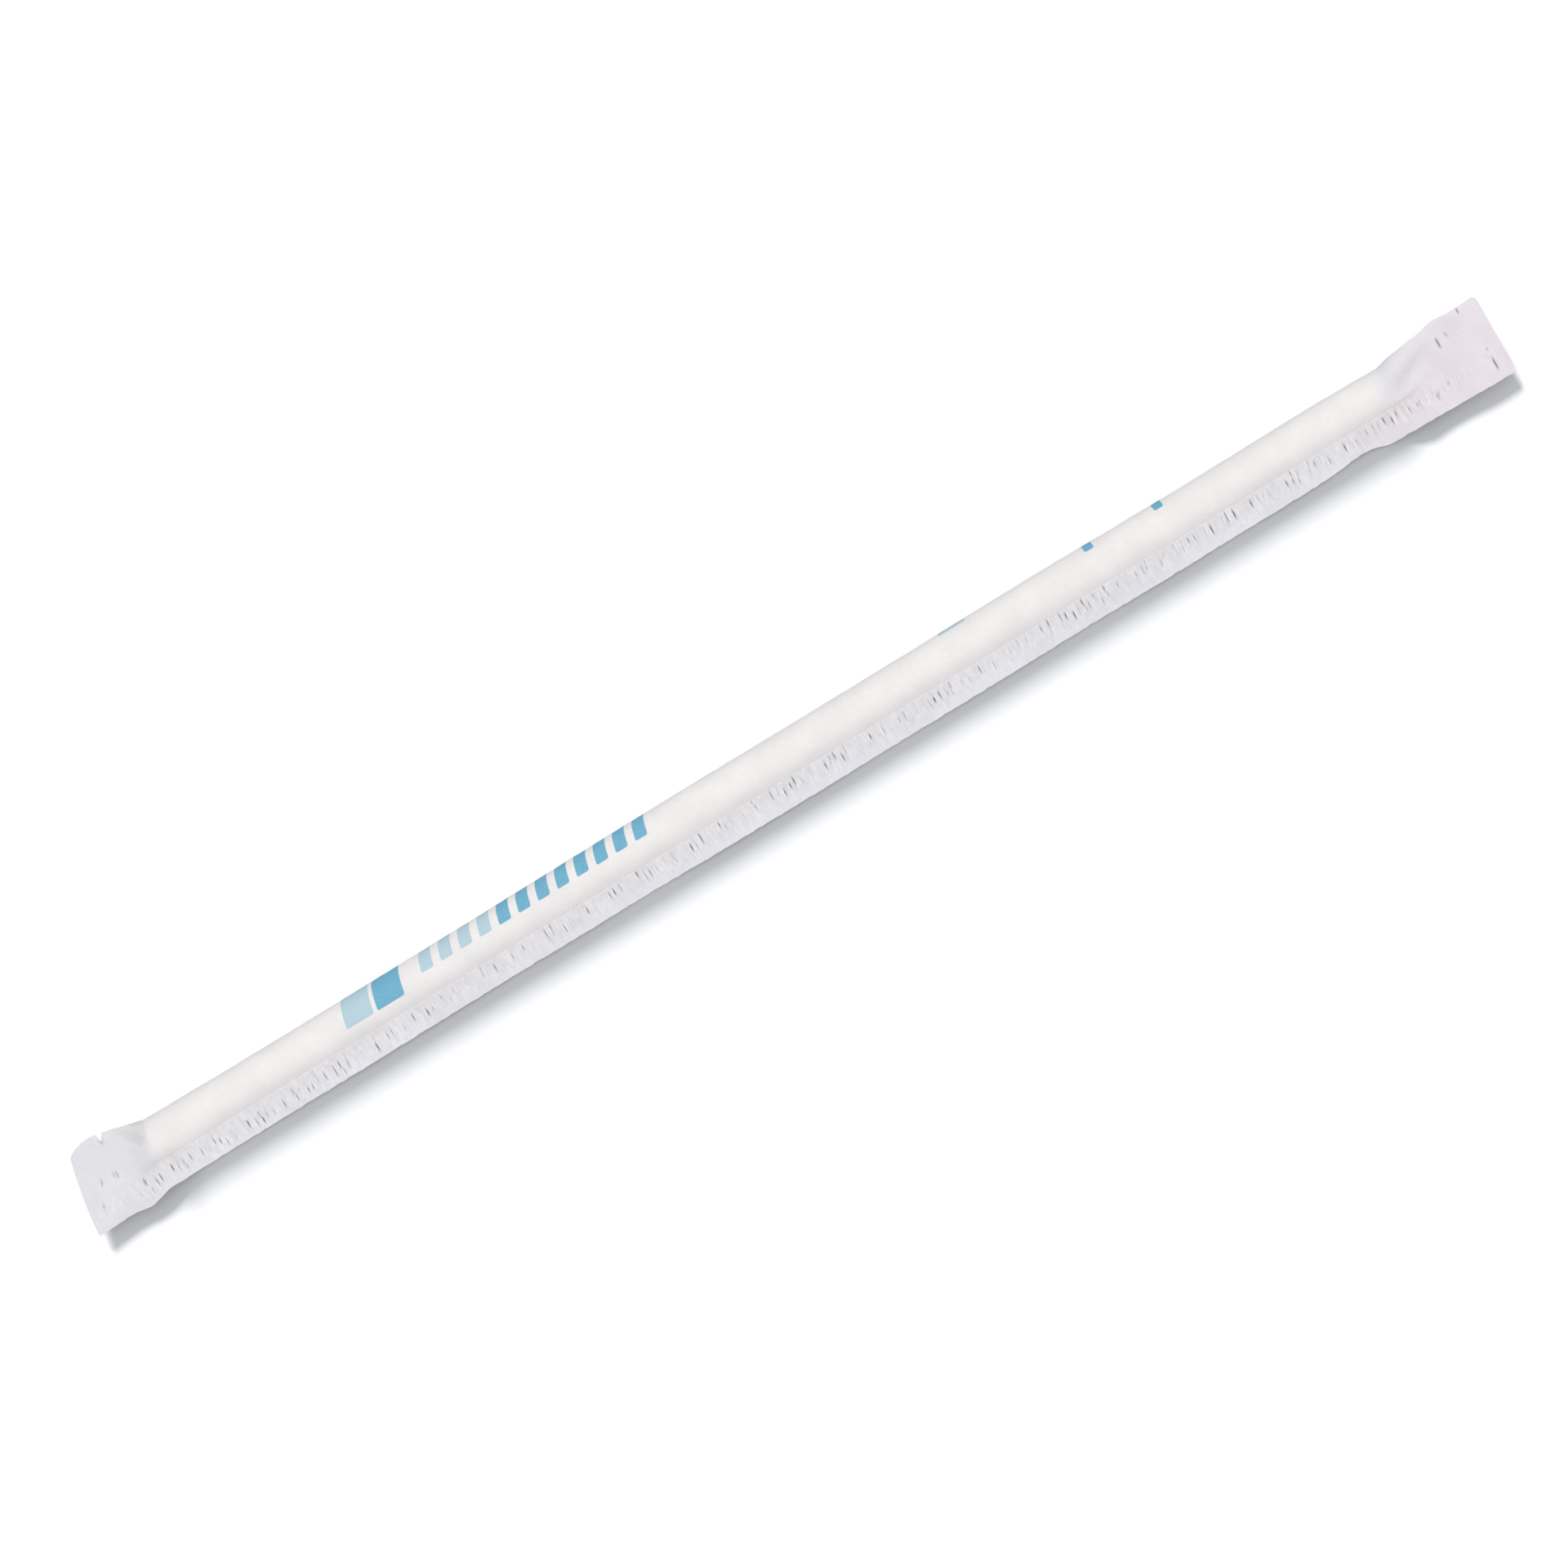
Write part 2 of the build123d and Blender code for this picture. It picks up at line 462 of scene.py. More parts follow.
    def hollow(self, w: Array, d: Array) -> Array:
        """How much painted shade greys the end, over its empty mouth and where it slopes from the light.

        Args:
            w: the share of the width from the crease to the back fold.
            d: distance past the rim.

        Returns:
            How far the painted shade greys the paper, from 0 to 1.
        """
        # Painted shade: over the empty mouth, in the valley, over the flat and behind the facet's line.
        mouth = (1 - self.backing(w, d)) * self.mouth_height.at(self.fullness(w, d))
        grey = self.mouth * (mouth * self.mouth_width.at(w)) + self.valley_shade * self.valley(w, d)
        grey = np.maximum(grey, self.slack_shade * self.slack_rise.at(d))
        if self.facet:
            behind = self.facet_edge.at(w - curve_through(self.facet, d)) * self.facet_rise.at(d)
            grey = grey + self.facet_shade * behind * (1 - self.facet_fall.at(d))
        return grey

    def relief(self, d: Array, p: Array, reach: float) -> tuple[Array, Array]:
        """How the end bends out of its plane: a slight wave, the tear's curled lip and its pleats.

        Args:
            d: distance past the rim.
            p: place in the seam's plane.
            reach: the place of the edge that the pack leans on, which doesn't bend.

        Returns:
            The bend, which moves both layers, and the depth of the pleats from 0 to 1, which paints them
            darker, as denser paper and as painted shade in their grooves.
        """
        hold = 1 - np.clip(p / reach, 0, 1) ** self.edge_hold
        bend = self.wave.at(d, p) * self.wave_rise.at(d) * hold
        if self.tear:
            bend = bend + self.tear.lip(d, p + self.back_edge[-1][1])
        pinch = 0 * d
        # Each pleat is painted darker, as denser paper and as painted shade in its groove.
        for mark in self.pinches:
            pressed = mark.pressed(d, p)
            bend = bend - mark.depth * pressed * self.pinch_sink
            pinch = np.maximum(pinch, pressed * mark.depth / self.darkest_pinch)
        return bend, pinch


LEFT_END = WrapperEnd(
    side=-1,
    seam_overhang=13.4,
    back_overhang=10.9,
    seam_edge=((0, 7.42), (2.1, 7.5), (3.4, 7.88), (5.2, 8.28), (7.7, 7.86), (10.4, 7.97), (13.4, 8.12)),
    back_edge=((0, 2.92), (1.8, 3.69), (4.0, 4.25), (5.2, 4.6), (7.6, 5.06), (9.3, 4.78), (10.9, 4.1)),
    corner=0.4,
    fray=Ripple(0.05, 1.2, 6.0, 29),
    wave=Ripple(0.3, 4.0, 14.0, 20),
    fall_start=((0, 0.6), (0.2, 1.0), (0.42, 0.8), (0.62, 0.2), (0.85, 0.0), (1, 0.0)),
    fall_stop=((0, 6.4), (0.2, 5.9), (0.42, 4.4), (0.58, 2.7), (0.75, 2.8), (1, 4.4)),
    facet=((0, 0.75), (0.8, 0.6), (2.5, 0.54), (4.2, 0.98)),
    flatten_under=5.4,
    # painted shade over the flat
    slack_shade=0.2,
    bulge=0.25,
    tear=Tear(),
    pinches=(
        Pinch(9.2, 1.6, 1.2, 0.16, 0.35),
        Pinch(7.2, 1.5, 1.1, 0.14, 0.1),
        Pinch(6.8, 1.7, 1.2, 0.16, 0.1),
        Pinch(10.7, 4.7, 0.9, 0.16, 0.3),
        Pinch(4.2, 4.8, 1.3, 0.25),
        Pinch(6.2, -3.6, 0.7, 0.2, -0.6),
    ),
)

RIGHT_END = WrapperEnd(
    side=1,
    seam_overhang=16.3,
    back_overhang=16.3,
    seam_edge=((0, 7.87), (3.4, 7.93), (9.0, 8.08), (14.6, 8.2), (16.3, 8.2)),
    back_edge=((0, 2.55), (2.0, 3.2), (4.7, 3.68), (6.5, 3.88), (8.5, 4.27), (12.0, 4.34), (16.3, 4.5)),
    corner=0.8,
    fray=Ripple(0.05, 1.2, 6.0, 31),
    wave=Ripple(0.3, 4.0, 14.0, 22),
    fall_start=((0, 1.0), (0.25, -0.8), (0.46, -2.0), (0.7, -1.8), (1, -0.5)),
    fall_stop=((0, 3.8), (0.25, 4.6), (0.42, 4.4), (0.6, 6.0), (0.8, 9.0), (1, 10.0)),
    flatten_under=8.4,
    valley_at=0.45,
    valley_depth=0.15,
    # painted shade in the valley
    valley_shade=0.3,
    # painted shade over the empty mouth
    mouth=0.1,
    pinches=(
        Pinch(2.2, 4.85, 0.7, 0.2),
        Pinch(5.2, 5.5, 1.2, 0.2, 0.15),
        Pinch(5.5, 5.2, 0.6, 0.16, -0.5),
        Pinch(7.3, 4.6, 0.6, 0.16, -0.2),
        Pinch(8.8, -1.2, 1.7, 0.3),
        Pinch(10.3, -1.7, 0.8, 0.16, 0.4),
        Pinch(13.2, -3.9, 0.9, 0.25),
        Pinch(14.2, 3.35, 0.5, 0.16),
        Pinch(14.2, 5.7, 2.0, 0.3),
    ),
)


@dataclass(frozen=True)
class CrimpTeeth:
    """The crimp pressed into the seam: fine teeth across it, with deeper pleats here and there.

    pleat_share is the share of the teeth that have a pleat. A pleat is a groove with a ridge beside
    it, ridge_share as high and ridge_width as wide. The spreads are the lowest and highest draw for
    each tooth, in shares of the seam's width across it and of a tooth along it. The bands say where
    the crimp sits, from the crease (0) to the seam's cut edge (1): it fades to band_rest in the
    outer half, sits low_shift further out near the left end, and calms down past the straw's rims.
    """

    pitch: float = 0.925
    tooth_depth: float = 0.05
    pleat_depth: float = 0.3
    pleat_share: float = 0.62
    pleat_width: float = 0.11
    ridge_share: float = 0.5
    ridge_width: float = 1.5
    tip_fade: float = 0.02
    seed: int = 11
    spreads: tuple[tuple[str, float, float], ...] = (
        ("chance", 0.0, 1.0),
        ("strength", 0.3, 1.3),
        ("middle", 0.18, 0.42),
        ("length", 0.16, 0.4),
        ("lean", -0.5, 0.5),
        ("shift", -0.16, 0.16),
        ("turned", -1.0, 1.0),
    )
    low_shift: float = 0.22
    low_rise: Ramp = Ramp(50.0, 18.0)
    band_rise: Ramp = Ramp(-0.1, 0.16)
    band_step: Ramp = Ramp(0.5, 0.2)
    band_rest: float = 0.15
    band_fall: Ramp = Ramp(0.84, 0.12)
    end_loss: float = 0.85
    end_length: float = 6.0
    drift: Ripple = Ripple(0.35, 6.0, 40.0, 17)

    @property
    def inputs(self) -> dict[str, float]:
        """The tree's named inputs.

        Returns:
            Depths in metres, the share of the teeth, and a width in shares of a tooth.
        """
        return {
            "Tooth depth": self.tooth_depth * MM,
            "Pleat depth": self.pleat_depth * MM,
            "Pleat share": self.pleat_share,
            "Pleat width": self.pleat_width / self.pitch,
        }

    def strength(self, x: Array, across: Array, past_rim: Array) -> tuple[Array, Array]:
        """How strongly the crimp is pressed into the sheet.

        Args:
            x: along the straw.
            across: from the crease (0) to the seam's cut edge (1), and below 0 on the body.
            past_rim: distance past the nearer rim.

        Returns:
            The place across the seam that the pleats go by, and the strength.
        """
        lowered = across - self.low_shift * self.low_rise.at(-x)
        band = self.band_rise.at(across) * (1 - (1 - self.band_rest) * self.band_step.at(lowered))
        band = band * (1 - self.band_fall.at(across))
        calm = np.clip(past_rim / self.end_length, 0, 1)
        return lowered, band * (1 - self.end_loss * calm) * (1 + self.drift.at(x))

    def tree(self, normal: tuple[float, float, float], paper: bpy.types.Material) -> bpy.types.NodeTree:
        """Builds the node tree that presses the crimp into a sheet.

        Args:
            normal: the direction that the seam's plane faces.
            paper: the material the tree sets.

        Returns:
            The tree. It reads the sheet's attributes tooth, across, crimp and pinch, and adds to pinch its
            pleats' painted shade and their ridges' painted highlight.
        """
        tree = bpy.data.node_groups.new("crimp_teeth", "GeometryNodeTree")
        tree.interface.new_socket("Geometry", in_out="INPUT", socket_type="NodeSocketGeometry")
        for name in self.inputs:
            tree.interface.new_socket(name, in_out="INPUT", socket_type="NodeSocketFloat")
        tree.interface.new_socket("Geometry", in_out="OUTPUT", socket_type="NodeSocketGeometry")
        known = dict(add_node(tree, "NodeGroupInput").outputs.items())
        for name in ("tooth", "across", "crimp", "pinch"):
            attribute = add_node(tree, "GeometryNodeInputNamedAttribute", {"Name": name}, data_type="FLOAT")
            known[name] = attribute.outputs[0]
        add_chain(tree, known, (
            ("index", "FLOOR", "tooth"),
            ("phase", "FRACT", "tooth"),
        ))
        for i, (name, low, high) in enumerate(self.spreads):
            inputs = {2: low, 3: high, "ID": known["index"], "Seed": self.seed + i}
            known[name] = add_node(tree, "FunctionNodeRandomValue", inputs, data_type="FLOAT").outputs[1]
        add_chain(tree, known, (
            ("turn", "MULTIPLY", "phase", 2 * math.pi),
            ("wave", "COSINE", "turn"),
            ("even_tooth", "MULTIPLY", "wave", "Tooth depth"),
            ("own_tooth", "MULTIPLY", "even_tooth", "strength"),
            ("along", "SUBTRACT", "across", "middle"),
            ("bend", "MULTIPLY_ADD", "along", "lean", "shift"),
            ("from_middle", "SUBTRACT", "phase", 0.5),
            ("offset", "SUBTRACT", "from_middle", "bend"),
            ("way", "SIGN", "turned"),
            ("ridge_half", "MULTIPLY", "Pleat width", self.ridge_width),
            ("from_ridge", "MULTIPLY_ADD", "way", "ridge_half", "offset"),
            ("off_groove", "ABSOLUTE", "offset"),
            ("off_ridge", "ABSOLUTE", "from_ridge"),
            ("groove", "SMOOTHSTEP", "off_groove", "Pleat width", 0.0, 0.0, 1.0),
            ("ridge", "SMOOTHSTEP", "off_ridge", "ridge_half", 0.0, 0.0, self.ridge_share),
            ("profile", "SUBTRACT", "groove", "ridge"),
            ("off_centre", "ABSOLUTE", "along"),
            ("inside", "SMOOTHSTEP", "off_centre", "length", self.tip_fade, 0.0, 1.0),
            ("there", "LESS_THAN", "chance", "Pleat share"),
            ("short_pleat", "MULTIPLY", "profile", "inside"),
            ("chosen_pleat", "MULTIPLY", "short_pleat", "there"),
            ("own_pleat", "MULTIPLY", "chosen_pleat", "strength"),
            ("pleat", "MULTIPLY", "own_pleat", "crimp"),
            ("drop", "MULTIPLY", "pleat", "Pleat depth"),
            ("pressed_tooth", "MULTIPLY", "own_tooth", "crimp"),
            ("relief", "SUBTRACT", "pressed_tooth", "drop"),
            # the pleats' painted shade and the ridges' painted highlight join the sheet's pinch
            ("dark", "ADD", "pleat", "pinch"),
        ))
        lift = {0: normal, "Scale": known["relief"]}
        move = add_node(tree, "ShaderNodeVectorMath", lift, operation="SCALE").outputs[0]
        shape = known["Geometry"]
        for kind, inputs, settings in (
            ("GeometryNodeSetPosition", {"Offset": move}, {}),
            (
                "GeometryNodeStoreNamedAttribute",
                {"Name": "pinch", "Value": known["dark"]},
                {"data_type": "FLOAT", "domain": "POINT"},
            ),
            ("GeometryNodeRealizeInstances", {}, {}),
            ("GeometryNodeSetMaterial", {"Material": paper}, {}),
            ("NodeGroupOutput", {}, {}),
        ):
            node = add_node(tree, kind, {"Geometry": shape, **inputs}, **settings)
            shape = node.outputs[0] if node.outputs else None
        return tree

    def press(self, piece: bpy.types.Object, tree: bpy.types.NodeTree) -> None:
        """Presses the crimp into a piece and keeps the result as its plain mesh.

        Args:
            piece: the object whose mesh carries the attributes.
            tree: the tree from tree().
        """
        modifier = piece.modifiers.new("crimp", "NODES")
        modifier.node_group = tree
        for item in tree.interface.items_tree:
            if item.in_out == "INPUT" and item.name in self.inputs:
                modifier[item.identifier] = self.inputs[item.name]
        graph = bpy.context.evaluated_depsgraph_get()
        pressed = bpy.data.meshes.new_from_object(
            piece.evaluated_get(graph), preserve_all_data_layers=True, depsgraph=graph
        )
        piece.modifiers.remove(modifier)
        piece.data = pressed


class Tone(Enum):
    """The two inks of the printed bars."""

    PALE = "#AECAD5"
    DEEP = "#5AA7C4"


@dataclass(frozen=True)
class BarRow:
    """A row of plain slanted bars printed on the sheet.

    start is where the first bar begins along the straw, low and high are its ends across the sheet,
    counted from the back fold towards the seam on the upper side.
    """

    tone: Tone
    start: float
    width: float
    pitch: float
    count: int
    low: float
    high: float
    slant: float = 0.22


PRINT = (
    BarRow(Tone.PALE, -67.0, 4.3, 4.9, 1, -5.0, 4.6),
    BarRow(Tone.DEEP, -62.1, 4.3, 4.9, 1, -5.0, 4.6),
    BarRow(Tone.PALE, -54.6, 1.9, 3.1, 4, -2.2, 3.3),
    BarRow(Tone.DEEP, -42.2, 1.9, 3.1, 8, -2.2, 3.3),
    BarRow(Tone.PALE, 28.4, 4.2, 6.0, 1, -5.0, 0.4, 0.0),
    BarRow(Tone.DEEP, 51.3, 1.45, 11.0, 2, -5.0, 1.4, 0.0),
)


@dataclass(frozen=True)
class Grain:
    """An uneven pattern in the paper.

    along and across are its size on the sheet, and tone how much lighter and darker it makes the paper.
    """

    along: float
    across: float
    tone: float
    detail: float
    roughness: float = 0.5
    distortion: float = 0.0


@dataclass(frozen=True)
class WrapPaper:
    """Machine-glazed straw wrap: thin bleached kraft tissue, about 29 g/m2.

    One side is dried on a polished drum, which leaves it matt with a faint soft sheen and fine lines
    along the machine's run. Light goes through it, so it looks warm and bright where the straw backs
    it and cooler where there are only two layers of paper. Painted shade greys it over the empty mouth
    past the straw's rim and where the ends slope from the light. Its fibres show as a fine uneven cloud,
    the crimp leaves faint streaks across the seam, and a pressed pleat is painted darker, partly as
    denser paper and partly as painted shade in its groove, with a painted highlight on the ridge beside
    it and along the crease. The sheet blushes slightly from blush_start to blush_full along the straw,
    on a slant.
    """

    backed: str = "#EAE6E3"
    unbacked: str = "#E2E0E3"
    # pleat: denser pressed paper and painted shade in the groove; ridge: painted highlight on the ridge and
    # along the crease
    pleat: str = "#76737B"
    ridge: str = "#FAFAFC"
    ridge_highlight_gain: float = 2.2
    # painted shade over the ends' empty mouth and the parts that slope from the light
    hollow: str = "#CACAC4"
    blush: str = "#FFF8F9"
    blush_slant: float = 1.2
    blush_start: float = 100.0
    blush_full: float = 116.0
    fibre: Grain = Grain(1.1, 0.12, 0.05, 4.0, 0.6)  # 1 to 3 mm long, and drawn coarser to show
    cloud: Grain = Grain(5.0, 5.0, 0.035, 3.0)
    streak: Grain = Grain(0.6, 1.8, 0.07, 2.0, distortion=0.8)
    fibre_height: float = 0.03
    fibre_bump: float = 0.35
    streak_crimp: float = 0.3  # the crimp's strength that brings the streaks out in full
    noise_mean: float = 0.5
    noise_low: float = 0.3
    noise_high: float = 0.7
    roughness: float = 0.62
    ior: float = 1.47
    sheen: float = 0.35
    ink_roughness: float = 0.5
    ink_cover: tuple[float, ...] = (0.25, 0.6, 0.8, 0.97)  # ink takes less well between the fibres
    bar_corner: float = 0.3
    bar_edge: float = 0.06

    def bar_group(self) -> bpy.types.NodeTree:
        """Builds the node group that masks one row of bars.

        Returns:
            A group from the sheet's place in millimetres to a mask.
        """
        tree = bpy.data.node_groups.new("slanted_bars", "ShaderNodeTree")
        for name in ("X", "V", "Start", "Width", "Pitch", "Count", "Low", "High", "Slant"):
            tree.interface.new_socket(name, in_out="INPUT", socket_type="NodeSocketFloat")
        tree.interface.new_socket("Mask", in_out="OUTPUT", socket_type="NodeSocketFloat")
        known = dict(add_node(tree, "NodeGroupInput").outputs.items())
        edge = self.bar_corner + self.bar_edge, self.bar_corner - self.bar_edge
        add_chain(tree, known, (
            ("lean", "MULTIPLY", "V", "Slant"),
            ("leaned", "ADD", "X", "lean"),
            ("run", "SUBTRACT", "leaned", "Start"),
            ("share", "DIVIDE", "run", "Pitch"),
            ("cell", "FLOOR", "share"),
            ("last", "SUBTRACT", "Count", 1.0),
            ("not_before", "MAXIMUM", "cell", 0.0),
            ("bar", "MINIMUM", "not_before", "last"),
            ("bar_start", "MULTIPLY", "bar", "Pitch"),
            ("half_width", "MULTIPLY", "Width", 0.5),
            ("centre", "ADD", "bar_start", "half_width"),
            ("beside", "SUBTRACT", "run", "centre"),
            ("height", "SUBTRACT", "High", "Low"),
            ("half_height", "MULTIPLY", "height", 0.5),
            ("middle", "ADD", "Low", "half_height"),
            ("above", "SUBTRACT", "V", "middle"),
        ))
        for place, size in (("beside", "half_width"), ("above", "half_height")):
            add_chain(tree, known, (
                ("distance", "ABSOLUTE", place),
                ("past", "SUBTRACT", "distance", size),
                ("in_corner", "ADD", "past", self.bar_corner),
                ("clipped", "MAXIMUM", "in_corner", 0.0),
                (f"{place}_squared", "POWER", "clipped", 2.0),
            ))
        add_chain(tree, known, (
            ("squares", "ADD", "beside_squared", "above_squared"),
            ("away", "SQRT", "squares"),
            ("mask", "SMOOTHSTEP", "away", *edge, 0.0, 1.0),
        ))
        add_node(tree, "NodeGroupOutput", {"Mask": known["mask"]})
        return tree

    def material(self) -> bpy.types.Material:
        """Builds the paper.

        Returns:
            The material, which reads the UV map sheet and the sheet's attributes.
        """
        paper = bpy.data.materials.new("machine_glazed_straw_wrap")
        tree = clean_tree(paper)
        uv = add_node(tree, "ShaderNodeUVMap", uv_map="sheet").outputs[0]
        scaled = {0: uv, "Scale": SHEET_UNIT}
        place = add_node(tree, "ShaderNodeVectorMath", scaled, operation="SCALE").outputs[0]
        known = dict(add_node(tree, "ShaderNodeSeparateXYZ", {0: place}).outputs.items())
        for name in ("backing", "pinch", "hollow", "crimp"):
            known[name] = add_node(tree, "ShaderNodeAttribute", attribute_name=name).outputs["Fac"]
        grains = {"fibre": self.fibre, "cloud": self.cloud, "streak": self.streak}
        for name, grain in grains.items():
            stretch = {"Vector": place, "Scale": (1 / grain.along, 1 / grain.across, 1.0)}
            looks = {"Vector": add_node(tree, "ShaderNodeMapping", stretch).outputs[0], "Scale": 1.0}
            looks |= {"Detail": grain.detail, "Roughness": grain.roughness}
            looks["Distortion"] = grain.distortion
            known[name] = add_node(tree, "ShaderNodeTexNoise", looks).outputs["Fac"]
        add_chain(tree, known, (
            ("slanted", "MULTIPLY_ADD", "Y", self.blush_slant, "X"),
            ("drift", "LINEAR", "slanted", self.blush_start, self.blush_full, 0.0, 1.0),
            ("streak", "LINEAR", "crimp", 0.0, self.streak_crimp, self.noise_mean, "streak"),
            ("cover", "LINEAR", "fibre", *self.ink_cover),
        ))

        colour = linear_colour(self.unbacked)
        # The backing's tone, then the ends' painted shade, then the blush.
        for share, tone, blend in (
            ("backing", self.backed, "MIX"),
            ("hollow", self.hollow, "MIX"),
            ("drift", self.blush, "MULTIPLY"),
        ):
            mix = {0: known[share], 6: colour, 7: linear_colour(tone)}
            colour = add_node(tree, "ShaderNodeMix", mix, data_type="RGBA", blend_type=blend).outputs[2]
        for name, grain in grains.items():
            limits = self.noise_low, self.noise_high, 1 - grain.tone, 1 + grain.tone
            add_chain(tree, known, (("shade", "LINEAR", name, *limits),))
            shaded = {0: colour, "Scale": known["shade"]}
            colour = add_node(tree, "ShaderNodeVectorMath", shaded, operation="SCALE").outputs[0]

        # Pleats are painted darker, as denser paper and as painted shade in the groove. The ridges beside
        # them and the band along the crease get a painted highlight, ridge_highlight_gain times as strong.
        layers = []
        for tone, gain in ((self.pleat, 1.0), (self.ridge, -self.ridge_highlight_gain)):
            dent = {0: known["pinch"], 1: gain}
            layers.append((tone, add_node(tree, MATH, dent, operation="MULTIPLY", use_clamp=True)))
        bars = self.bar_group()
        known["inked"] = 0.0
        for row in PRINT:
            sizes = {"X": known["X"], "V": known["Y"], "Start": row.start, "Width": row.width}
            sizes |= {"Pitch": row.pitch, "Count": float(row.count), "Low": row.low, "High": row.high}
            sizes["Slant"] = row.slant
            known["mask"] = add_node(tree, "ShaderNodeGroup", sizes, node_tree=bars).outputs["Mask"]
            covered = {0: known["mask"], 1: known["cover"]}
            layers.append((row.tone.value, add_node(tree, MATH, covered, operation="MULTIPLY")))
            add_chain(tree, known, (("inked", "MAXIMUM", "inked", "mask"),))
        for tone, share in layers:
            mix = {0: share.outputs[0], 6: colour, 7: linear_colour(tone)}
            colour = add_node(tree, "ShaderNodeMix", mix, data_type="RGBA").outputs[2]

        finish = self.roughness, self.ink_roughness
        add_chain(tree, known, (("rough", "LINEAR", "inked", 0.0, 1.0, *finish),))
        relief = {"Strength": self.fibre_bump, "Distance": self.fibre_height * MM, "Height": known["fibre"]}
        shader = {
            "Base Color": colour,
            "Roughness": known["rough"],
            "Normal": add_node(tree, "ShaderNodeBump", relief).outputs[0],
            "IOR": self.ior,
            "Specular IOR Level": self.sheen,
        }
        surface = add_node(tree, "ShaderNodeBsdfPrincipled", shader).outputs[0]
        add_node(tree, "ShaderNodeOutputMaterial", {"Surface": surface})
        return paper


@dataclass(frozen=True)
class Wrapper:
    """The folded sheet of paper: an upper and an under layer that share the back fold.

    Each layer is a grid. Its rows run the length of the pack, from the seam's cut edge (row 0) over
    the crease to the back fold, and its columns run across it. Rows on the round body keep only every
    few columns. A narrow strip closes the cut edges between the two layers.

    The body's edges give the reach of the seam's cut edge and of the back fold along the straw. The
    fillet carries the paper from the round body into the seam, and clearance keeps it off the floor.
    The body swells, and the seam sags and wrinkles. A painted highlight makes the body's paper a little
    lighter along the crease, by crease_highlight, against the shade there. The two layers part slightly at
    the cuts. The ends' curl is level at level_at, full at the seam's edge, and goes no lower than
    back_share of itself at the back.
    """

    sizes: StrawSizes
    seam: SeamFrame
    left: WrapperEnd = LEFT_END
    right: WrapperEnd = RIGHT_END
    teeth: CrimpTeeth = CrimpTeeth()
    body_seam_edge: Knots = (
        (-98.5, 7.42), (-80, 7.3), (-50, 7.18), (-20, 7.3), (10, 7.45), (46, 7.41), (74, 7.42),
        (82, 7.37), (86, 7.29), (90, 6.9), (92, 6.88), (95, 7.7), (98.5, 7.87),
    )
    body_back_edge: Knots = (
        (-98.5, 2.92), (-88, 2.79), (-50, 2.77), (-20, 2.94), (20, 2.85), (42, 2.93),
        (68, 2.68), (90, 2.74), (98.5, 2.55),
    )
    ply: float = 0.05
    fillet: float = 0.22
    clearance: float = 0.02
    fray: Ripple = Ripple(0.05, 1.2, 6.0, 3)
    fray_rise: Ramp = Ramp(0.0, 0.1)
    rim_hold: Ramp = Ramp(0.0, 4.0)
    swell: Ripple = Ripple(0.009, 1.9, 14.0, 5, across=0.4)
    swell_rise: Ramp = Ramp(0.0, 0.2)
    sag: Ripple = Ripple(0.16, 18.0, 70.0, 8)
    sag_power: float = 1.3
    sag_rise: Ramp = Ramp(0.0, 12.0)
    wrinkle: Ripple = Ripple(0.06, 0.6, 3.2, 9, across=0.3)
    wrinkle_rise: Ramp = Ramp(0.0, 0.8)
    # painted highlight along the crease, against the shade there
    crease_highlight: float = 0.13
    crease_fade: Ramp = Ramp(0.22, 0.13)
    crease_backing: float = 0.8
    seam_fade: Ramp = Ramp(0.0, 2.0)
    body_rise: Ramp = Ramp(0.0, 0.12)
    crease_spread: float = 0.85
    parting: float = 0.07
    parting_length: float = 2.5
    parting_rise: Ramp = Ramp(0.0, 0.25)
    level_at: float = -2.0
    back_share: float = -0.4
    cut_ply: float = 0.85  # of a ply, which shows as each layer's thickness at a cut
    cut_depth: float = 0.25  # of the gap between the layers at the seam's edge
    end_cut_depth: float = 0.8  # and at the flat ends, from end_cut_from past the rims
    end_cut_from: float = 6.0
    sharp_angle: float = 55.0
    first_tooth: float = 1000.0  # keeps the teeth's numbers above zero
    seam_rows: int = 12
    body_rows: int = 22
    columns_a_tooth: int = 8
    foot_crowding: float = 0.4
    end_column: float = 0.115
    body_step: int = 4
    near_step: int = 2
    near_rows: int = 2

    @property
    def last_row(self) -> int:
        """The number of the row on the back fold."""
        return self.seam_rows + self.body_rows

    @property
    def crease(self) -> float:
        """The reach of the crease, where the round body runs out into the seam in a small fillet."""
        return self.sizes.crease_reach + self.fillet

    @property
    def straight(self) -> float:
        """The flat stretch of paper between the crease and the round body."""
        return math.sqrt(self.sizes.crease_reach**2 - self.sizes.body_radius**2)

    @property
    def body_girth(self) -> float:
        """Paper from the crease over the round body to the back fold."""
        radius, reach = self.sizes.body_radius, self.sizes.crease_reach
        return self.straight + radius * (math.pi - math.acos(radius / reach))

    def round_section(self, w: Array) -> tuple[Array, Array]:
        """The round body's outline.

        Args:
            w: the share of the way from the crease (0) to the back fold (1), along the paper.

        Returns:
            p and q there, for the upper layer.
        """
        radius, reach = self.sizes.body_radius, self.sizes.crease_reach
        leave = math.acos(radius / reach)
        run = w * self.body_girth
        angle = leave + np.maximum(run - self.straight, 0) / radius
        t = np.clip(run / self.straight, 0, 1)
        start = self.crease, self.ply
        finish = radius * math.cos(leave), radius * math.sin(leave)
        wedge = t < 1
        p = np.where(wedge, start[0] + (finish[0] - start[0]) * t, radius * np.cos(angle))
        q = np.where(wedge, start[1] + (finish[1] - start[1]) * t, radius * np.sin(angle))
        return p, np.maximum(q, 0)

